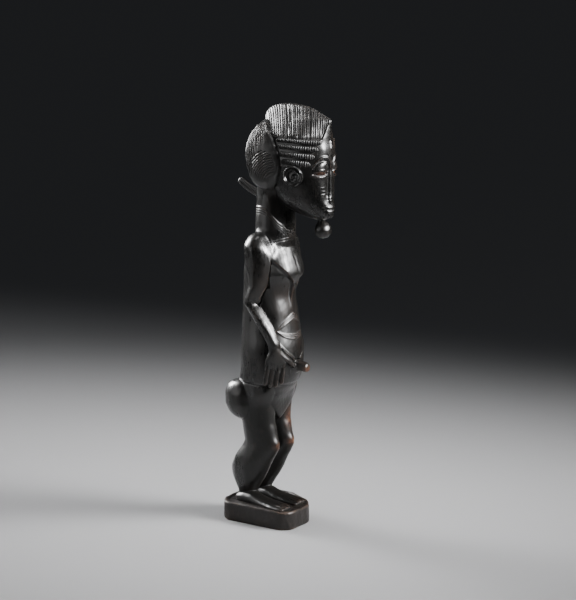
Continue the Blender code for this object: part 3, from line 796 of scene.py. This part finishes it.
def make_lobe(side):
    at = np.concatenate([
        np.linspace(321.5, 324, int(12 / COARSE)), np.arange(324.4, 384, 0.42 * COARSE),
        np.linspace(384.2, 388.6, int(18 / COARSE)),
    ])
    corners = int(300 / COARSE)
    rings = rings_of([(r[0], r[1], r[2], r[3] + 0.45, *r[4:]) for r in LOBE], at, corners, side)
    # Where round the ring each point is, in millimetres at the widest.
    outer_side = 0 if side == LEFT else corners // 2 - 1
    arc = ring_arc(rings, outer_side)
    around = (arc / np.abs(arc).max(axis=1, keepdims=True) * 58.0).ravel()
    mesh = grid_object("lobe", rings)

    def shift(points, n):
        y, z = points[:, 1], points[:, 2]
        # A patch of curved cuts on the side, and long cuts that follow the back of the lobe.
        away = np.hypot(y + 25.5, z - 327) + 0.2 * wobble(points * 0.6, 5.0, 21)
        patch = smooth(14.5, 11.5, np.hypot(y + 10.5, z - 347.5)) * smooth(0.4, 0.7, np.abs(n[:, 0]))
        long_cuts = smooth(-6.0, 2.0, y - 0.5 * (358 - z) * smooth(358, 374, z)) * (1 - patch) * smooth(334, 342, z)
        facing = np.degrees(np.arctan2(-n[:, 1], np.abs(n[:, 0])))
        rim = bump(facing - 42, 16) * smooth(333, 340, z) * smooth(387, 383, z)
        depth = 0.8 + 0.2 * wobble(points, 4.0, 22)
        rise = depth * (1.05 * patch * strokes(away, 2.2, 1.3) + 1.2 * long_cuts * strokes(around, 2.8, 1.6))
        rise += 0.15 * wobble(points, 6.0, 23)
        return n * (rise * smooth(388, 384, z) + 0.9 * rim)[:, None]

    return shifted(mesh, shift)


def make_tress(number, side):
    height, start, end, half = TRESS_ROWS[number]
    table = full(HEAD)
    steps, corners = int(230 / COARSE), 28
    t = np.linspace(0, 1, steps)
    if side == LEFT:
        end -= LEFT_TRESS_CUT[number]
    angle = np.radians(start + (end - start) * t)
    sag = 1.6 * t ** 2
    _, cy, a, front, back, power, _ = curve(table, height - sag).T
    reach = np.where(angle > 0, front, back)
    c, s = np.cos(angle), np.sin(angle)
    px = np.abs(c) ** (2 / power) * a
    py = cy - np.sign(s) * np.abs(s) ** (2 / power) * reach
    route = np.stack([px, py, height - sag], axis=-1)
    along = np.gradient(route, axis=0)
    along[:, 2] = 0
    along /= np.linalg.norm(along, axis=1)[:, None]
    out = np.stack([-along[:, 1], along[:, 0], np.zeros(steps)], axis=-1)
    out *= np.sign(out[:, :1] + 1e-9)
    length = length_along(route)
    taper = np.minimum(1, np.sqrt(np.clip(np.minimum(length + 0.2, (length[-1] - length + 0.05) * 0.9), 0.05, 4) / 3.2))
    notch = strokes(length + 0.15 * np.sin(1.3 * length), 2.1, 1.3)
    ring_angle = 2 * math.pi * np.arange(corners) / corners
    co, si = np.cos(ring_angle), np.sin(ring_angle)
    outward = np.sign(co) * np.abs(co) ** 0.85
    upward = np.sign(si) * np.abs(si) ** 0.85
    thick = (2.9 if number < 3 else 2.3) * taper[:, None] + 0.95 * notch[:, None] * np.clip(co, 0, 1)
    lift = half * taper[:, None] * (1 + 0.06 * notch[:, None])
    rings = route[:, None, :] + out[:, None, :] * (outward * thick)[..., None]
    rings[..., 2] += upward * lift
    rings[..., 0] *= side
    if side == LEFT:
        rings = rings[:, ::-1]
    return grid_object("tress", rings)


def make_ear(side):
    corners = int(120 / COARSE)
    theta = 2 * math.pi * np.arange(corners) / corners
    radii = np.concatenate([np.full(6, EAR_RADIUS), np.linspace(EAR_RADIUS, 0.15, int(48 / COARSE))])
    r, th = radii[:, None], theta
    forward, upward = r * np.cos(th), r * np.sin(th)
    open_side = smooth(0.72, 0.95, np.cos(th + 0.25))
    rim = 2.2 * bump(r - 8.6, 1.0) * (1 - 0.8 * open_side)
    coil = 1.6 * bump(r - 5.6, 0.75) * (0.25 + 0.75 * smooth(-0.6, 0.3, np.sin(th + 0.4))) * (1 - 0.5 * open_side)
    middle = np.hypot(forward - 1.4, upward + 1.2)
    knob = 2.3 * bump(middle, 2.5) - 1.3 * bump(middle, 0.8)
    height = 3.4 - 0.8 * smooth(9.7, 9.2, r) + rim * smooth(9.75, 9.4, r) + coil + knob
    height = np.broadcast_to(height, (len(radii), corners)).copy()
    height[:6] = np.linspace(-7.0, 2.7, 6)[:, None]
    tilt = math.radians(13)
    # height runs outwards, forward runs to the face, and the disc turns a little to the front.
    out = height * math.cos(tilt) - forward * math.sin(tilt)
    ahead = height * math.sin(tilt) + forward * math.cos(tilt)
    rings = np.stack([(22.2 + out) * side, EAR_Y - ahead, EAR_HEIGHT + np.broadcast_to(upward, height.shape)], axis=-1)
    return grid_object("ear", rings[:, ::-1] if side == RIGHT else rings)


def make_bead():
    at = np.concatenate([np.linspace(279.5, 281.4, 10), np.arange(281.8, 302, 0.45)])
    mesh = grid_object("bead", rings_of(BEAD, at, int(84 / COARSE)))
    return shifted(mesh, lambda points, n: n * (0.08 * wobble(points, 6.0, 31))[:, None])


def make_braid():
    """Two strands side by side, bound close, that curve up from the nape."""
    steps, corners = int(90 / COARSE), int(64 / COARSE)
    path = smooth_chain(BRAID, steps)
    route, radius = path[:, :3], path[:, 3:]
    along = np.gradient(route, axis=0)
    along /= np.linalg.norm(along, axis=1)[:, None]
    second = np.cross((1.0, 0.0, 0.0), along)
    angle = 2 * math.pi * np.arange(corners) / corners
    groove = 1 - 0.42 * (bump(np.sin(angle / 2) * 2, 0.42) + bump(np.sin((angle - math.pi) / 2) * 2, 0.42))
    length = np.linspace(0, 1, steps)[:, None]
    twist = 1 - 0.05 * (0.5 + 0.5 * np.cos(2 * math.pi * (length * 20 + np.abs(np.sin(angle)))))
    end = np.sqrt(np.clip((1 - length) * 14, 0.03, 1))
    size = radius * groove * twist * end
    rings = route[:, None, :] + size[..., None] * (
        np.cos(angle)[None, :, None] * np.array([1.0, 0, 0]) * 0.85 + np.sin(angle)[None, :, None] * second[:, None, :]
    )
    return grid_object("braid", rings)


def make_plinth():
    """A slab cut by hand: its corners are softened, its rim is rubbed round and its top is dished."""
    corners = np.array(PLINTH_CORNERS, float)
    outline = []
    for n, corner in enumerate(corners):
        before, after = corners[n - 1], corners[(n + 1) % len(corners)]
        start = corner + (before - corner) * min(0.42, 5.0 / np.linalg.norm(before - corner))
        end = corner + (after - corner) * min(0.42, 5.0 / np.linalg.norm(after - corner))
        for t in np.linspace(0, 1, 9):
            outline.append((1 - t) ** 2 * start + 2 * t * (1 - t) * corner + t * t * end)
    outline = np.array(outline + outline[:1])
    length = length_along(outline)
    even = np.linspace(0, length[-1], int(420 / COARSE), endpoint=False)
    outline = np.stack([np.interp(even, length, outline[:, k]) for k in (0, 1)], axis=-1)
    middle = outline.mean(axis=0)
    reach = np.linalg.norm(outline - middle, axis=1).mean()
    profile = [(3.0, 0.0), (1.6, 0.0), (0.8, 0.25), (0.25, 0.8), (0.0, 1.6)]
    profile += [(0.0, h) for h in np.linspace(2.2, 15.6, int(30 / COARSE))]
    profile += [(0.1, 16.4), (0.4, 17.1), (0.9, 17.65), (1.6, 17.95), (2.3, PLINTH_TOP)]
    for d in np.linspace(2.8, reach - 0.3, int(74 / COARSE)):
        profile.append((d, PLINTH_TOP - 1.1 * float(smooth(2.6, 5.5, d))))
    rings = []
    for inset, height in profile:
        ring = middle + (outline - middle) * (1 - inset / reach)
        rings.append(np.column_stack([ring, np.full(len(ring), height)]))
    mesh = grid_object("plinth", np.array(rings))

    def shift(points, n):
        top = smooth(0.5, 0.9, n[:, 2])
        marks = 0.32 * wobble(points * (1, 0.45, 1), 7.0, 41) + 0.16 * wobble(points * (0.5, 1, 1), 3.0, 42)
        sides = 0.22 * wobble(points * (1, 1, 0.5), 9.0, 43) + 0.08 * wobble(points, 3.0, 44)
        rise = np.where(points[:, 2] > 0.1, top * marks + (1 - top) * (sides - 0.25), 0.0)
        return n * rise[:, None]

    return shifted(mesh, shift)


# ---------------------------------------------------------------- wear, per vertex
def edge_values(mesh, scale):
    """How far each point stands proud of its surroundings: 0 in a hollow, 0.5 on a plain, 1 on an edge."""
    points = coordinates(mesh)
    pairs = edge_pairs(mesh)
    around = relax(points, pairs, 5, hold_volume=False)
    proud = np.einsum("ij,ij->i", points - around, normals(mesh))
    return np.clip(0.5 + proud / scale * 0.5, 0, 1)


def store(mesh, name, values):
    layer = mesh.attributes.get(name) or mesh.attributes.new(name, "FLOAT", "POINT")
    padded = np.full(len(mesh.vertices), 0.5 if name == "edge" else 0.0, np.float32)
    padded[: len(values)] = values
    layer.data.foreach_set("value", padded)


# ---------------------------------------------------------------- materials
def wood(name, dark, warm, rough, bump_depth, warm_amount=0.35, edge_amount=0.35):
    """Oiled dark wood: warm streaks, brown rubbed edges, hollows darkened with painted shade and made duller, fine
    grain and small nicks.
    """
    material = bpy.data.materials.new(name)
    material.use_nodes = True
    tree = material.node_tree
    tree.nodes.clear()

    def node(kind, out, inputs, **settings):
        """A new node's output. Each input is another node's output or a constant."""
        made = tree.nodes.new(kind)
        for key, value in settings.items():
            setattr(made, key, value)
        for socket, value in inputs.items():
            if isinstance(value, bpy.types.NodeSocket):
                tree.links.new(value, made.inputs[socket])
            else:
                made.inputs[socket].default_value = value
        return made.outputs[out]

    def noise(source, scale, detail, roughness):
        inputs = {"Vector": source, "Scale": scale, "Detail": detail, "Roughness": roughness}
        return node("ShaderNodeTexNoise", "Fac", inputs)

    def ramp(source, low, high, low_value=0.0, high_value=1.0):
        inputs = {"Value": source, "From Min": low, "From Max": high, "To Min": low_value, "To Max": high_value}
        return node("ShaderNodeMapRange", "Result", inputs, interpolation_type="SMOOTHSTEP")

    def mix(first, second, factor):
        first, second = ((*item, 1.0) if isinstance(item, tuple) else item for item in (first, second))
        return node("ShaderNodeMix", 2, {0: factor, 6: first, 7: second}, data_type="RGBA")

    def maths(operation, a, b, clamp=False):
        return node("ShaderNodeMath", 0, {0: a, 1: b}, operation=operation, use_clamp=clamp)

    edge, wear, dull = (
        node("ShaderNodeAttribute", "Fac", {}, attribute_name=layer) for layer in ("edge", "wear", "dull")
    )
    place = node("ShaderNodeTexCoord", "Object", {})
    along_grain = node("ShaderNodeMapping", "Vector", {"Vector": place, "Scale": (1.0, 1.0, 0.16)})
    streaks = noise(along_grain, 55.0, 5.0, 0.6)
    fine = noise(along_grain, 900.0, 3.0, 0.6)
    patches = noise(place, 26.0, 3.0, 0.55)
    nicks = noise(place, 330.0, 2.0, 0.7)
    mottle = noise(place, 120.0, 6.0, 0.72)

    # Colour: warm streaks, handled patches, rubbed edges, painted shade that darkens the hollows, and bare wood where
    # it's worn.
    warmth = maths("MULTIPLY", ramp(streaks, 0.47, 0.72), ramp(patches, 0.40, 0.68))
    colour = mix(dark, warm, maths("MULTIPLY", warmth, warm_amount))
    handled = tuple(1.6 * d + 0.18 * w for d, w in zip(dark, warm))
    colour = mix(colour, handled, ramp(mottle, 0.50, 0.72, high_value=0.6))
    rubbed = maths("MULTIPLY", ramp(edge, 0.62, 1.0), ramp(patches, 0.30, 0.62))
    colour = mix(colour, tuple(min(1.0, 1.9 * c) for c in warm), maths("MULTIPLY", rubbed, edge_amount))
    # Painted shade: the colour darkens towards the bottom of hollows and creases, where shade would fall.
    colour = mix(colour, tuple(0.55 * c for c in dark), ramp(edge, 0.40, 0.12))
    copper = mix((0.16, 0.052, 0.022), (0.42, 0.175, 0.085), ramp(nicks, 0.35, 0.7))
    worn = maths("MULTIPLY", wear, ramp(streaks, 0.30, 0.55, low_value=0.55), clamp=True)
    colour = mix(colour, copper, worn)

    # Sheen: dusty wood and hollows are duller, and the grain breaks the shine up.
    flatness = maths("ADD", ramp(dull, 0.0, 1.0, 0.0, 0.12), ramp(mottle, 0.42, 0.66, -0.01, 0.045))
    sheen = maths("ADD", ramp(patches, 0.3, 0.7, rough - 0.05, rough + 0.07), flatness)
    dusty = ramp(edge, 0.42, 0.15, 0.0, 0.22)
    roughness = maths("ADD", maths("ADD", sheen, dusty), ramp(fine, 0.3, 0.7, -0.03, 0.05), clamp=True)

    height = maths("ADD", maths("MULTIPLY", fine, 0.35), maths("MULTIPLY", streaks, 0.5))
    height = maths("ADD", height, maths("MULTIPLY", ramp(nicks, 0.22, 0.36), 0.8))
    relief = node("ShaderNodeBump", "Normal", {"Strength": 1.0, "Distance": bump_depth * MM, "Height": height})
    shader = node("ShaderNodeBsdfPrincipled", "BSDF", {
        "Base Color": colour, "Metallic": 0.0, "Roughness": roughness, "IOR": 1.5, "Normal": relief,
        "Specular IOR Level": ramp(dull, 0.0, 1.0, 0.5, 0.2), "Coat Weight": 0.25, "Coat Roughness": 0.22,
    })
    output = tree.nodes.new("ShaderNodeOutputMaterial")
    tree.links.new(shader, output.inputs["Surface"])
    return material


BLACK, BROWN = (0.0083, 0.0078, 0.0068), (0.060, 0.030, 0.017)
# Each slot's dark and warm colour, roughness, depth of grain, and any amounts of its own.
FINISHES = {
    "dark_patina": (BLACK, BROWN, 0.28, 0.10),
    "hair_patina": ((0.0095, 0.0078, 0.0068), (0.050, 0.034, 0.024), 0.40, 0.06, 0.35, 0.5),
    "plinth_wood": ((0.016, 0.0125, 0.0105), (0.075, 0.045, 0.030), 0.38, 0.22, 0.5, 0.5),
    "worn_wood": ((0.012, 0.008, 0.006), BROWN, 0.30, 0.08),
}


def dullness(points):
    """Where the wood is dusty instead of oiled: the thighs and shins a little, the feet and plinth most."""
    y, z = points[:, 1], points[:, 2]
    return np.maximum(0.75 * smooth(128, 112, z) * smooth(24, 12, y), smooth(34, 24, z))


def wear_of(points, n):
    """Where hands have rubbed through to the red wood: the navel's tip, the knees and one thigh."""
    x, y, z = points.T

    def spot(across, up, x_reach, z_reach):
        return ((x - across) / x_reach) ** 2 + ((z - up) / z_reach) ** 2

    navel_tip = smooth(-37.5, -41.5, y) * bump(np.hypot(x, z - 151.5), 6.0) * smooth(0.5, -0.3, n[:, 2] - 0.1)
    left_knee = np.exp(-spot(12, 76, 6, 3.4) - ((y + 17.5) / 5) ** 2)
    right_knee = np.exp(-spot(-12, 75, 6, 3.4) - ((y + 17) / 5) ** 2)
    left_thigh = smooth(0.2, -0.6, n[:, 1]) * np.exp(-spot(12, 98, 7, 9)) * smooth(-8, -12, y)
    return np.max([0.5 * navel_tip, 0.55 * left_knee, 0.22 * right_knee, 0.40 * left_thigh], axis=0)


# ---------------------------------------------------------------- the pieces
BODY_NODES = ["hips", "loin_point", "torso", "navel", "neck"]
for side_name in SIDES.values():
    BODY_NODES += [f"{side_name}_{part}" for part in ("foot", "lower_leg", "thigh", "upper_arm", "forearm", "hand")]
HAIR = ("hair_crest", "hair_lobe", "tress", "nape_braid")


def slot_of(node):
    if node == "plinth":
        return "plinth_wood"
    if node == "navel":
        return "worn_wood"
    return "hair_patina" if any(word in node for word in HAIR) else "dark_patina"


def add_piece(node, mesh, finishes):
    """Puts a finished mesh in the place of its CAD node."""
    slot = slot_of(node)
    mesh.name = f"wood_{node}"
    mesh.materials.clear()
    mesh.materials.append(finishes[slot])
    piece = place_object(f"wood_{node}", mesh)
    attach(piece, "root")
    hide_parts(node)


def build_figure():
    finishes = {slot: wood(slot, *values) for slot, values in FINISHES.items()}
    body = fuse("body", body_shells(), SKIN_VOXEL * COARSE)
    shares = sculpt_body(body, BODY_NODES)
    points = coordinates(body)
    layers = {
        "edge": edge_values(body, scale=0.10), "wear": wear_of(points, normals(body)), "dull": dullness(points),
    }
    for node, mesh in split(body, BODY_NODES, shares, layers).items():
        add_piece(node, mesh, finishes)

    made = {
        "plinth": make_plinth(), "head": make_head(), "hair_crest": make_crest(), "beard_bead": make_bead(),
        "nape_braid": make_braid(),
    }
    for side, label in SIDES.items():
        made[f"{label}_hair_lobe"] = make_lobe(side)
        made[f"{label}_ear"] = make_ear(side)
        for number in range(len(TRESS_ROWS)):
            made[f"{label}_tress_{number + 1}"] = make_tress(number, side)
    for node, mesh in made.items():
        store(mesh, "edge", edge_values(mesh, scale=0.16))
        store(mesh, "dull", dullness(coordinates(mesh)))
        if node == "head":
            points = coordinates(mesh)
            x, y, z = points.T
            slit = np.exp(-(((np.abs(x) - 11.0) / 4.6) ** 4) - ((z - 341.6) / 1.3) ** 2) * smooth(-55, -60, y)
            store(mesh, "wear", 0.42 * slit)
        add_piece(node, mesh, finishes)


# ---------------------------------------------------------------- camera, floor and light
def make_stage():
    scene = bpy.context.scene
    data = bpy.data.cameras.new("camera")
    data.lens = 127.94
    data.sensor_width = 36.0
    data.clip_end = 100.0
    camera = place_object("camera", data)
    camera.location = (-1.6090, -1.1879, 0.5974)
    aim = Vector((0.00898, -0.01236, 0.2140))
    camera.rotation_euler = (aim - camera.location).to_track_quat("-Z", "Y").to_euler()
    scene.camera = camera

    corners, radius = 96, 18
    turns = [2 * math.pi * k / corners for k in range(corners)]
    ring = [(radius * math.cos(turn), radius * math.sin(turn), 0.0) for turn in turns]
    mesh = bpy.data.meshes.new("floor")
    mesh.from_pydata(ring, [], [list(range(corners))])
    floor = place_object("floor", mesh)
    material = bpy.data.materials.new("floor")
    material.use_nodes = True
    shader = material.node_tree.nodes["Principled BSDF"]
    shader.inputs["Base Color"].default_value = (0.52, 0.52, 0.53, 1.0)
    shader.inputs["Roughness"].default_value = 0.65
    shader.inputs["Specular IOR Level"].default_value = 0.0
    mesh.materials.append(material)

    world = bpy.data.worlds.new("studio")
    world.use_nodes = True
    background = world.node_tree.nodes["Background"]
    background.inputs["Color"].default_value = (0.90, 0.94, 1.0, 1.0)
    background.inputs["Strength"].default_value = 0.03
    scene.world = world

    def lamp(name, direction, distance, height, size, power, spread, glossy_only=False):
        light = bpy.data.lights.new(name, "AREA")
        light.shape = "RECTANGLE"
        light.size, light.size_y = size
        light.energy = power
        light.spread = math.radians(spread)
        obj = place_object(name, light)
        obj.visible_diffuse = not glossy_only
        spot = Vector((*direction, 0)).normalized() * distance
        obj.location = (spot.x, spot.y, height)
        obj.rotation_euler = (Vector((0, 0, 0.22)) - obj.location).to_track_quat("-Z", "Y").to_euler()

    lamp("front", (0.45, -0.9), 1.25, 0.95, (0.7, 0.6), 4.0, spread=46)
    lamp("back", (0.05, 1.0), 1.2, 0.75, (0.6, 0.7), 2.2, spread=46)
    lamp("overhead", (-0.1, 0.0), 0.1, 1.7, (0.5, 0.5), 0.4, spread=40)
    lamp("side", (-0.95, 0.25), 1.7, 0.7, (0.5, 0.9), 0.25, spread=60)
    # White cards that only show as reflections in the oiled wood.
    lamp("front_card", (-0.02, -1.0), 1.3, 0.85, (0.22, 0.55), 78, spread=180, glossy_only=True)
    lamp("back_card", (0.05, 1.0), 1.3, 0.75, (0.5, 0.6), 48, spread=180, glossy_only=True)
    lamp("side_card", (-0.8, 0.6), 1.6, 0.36, (0.9, 0.7), 2.8, spread=180, glossy_only=True)


build_figure()
make_stage()
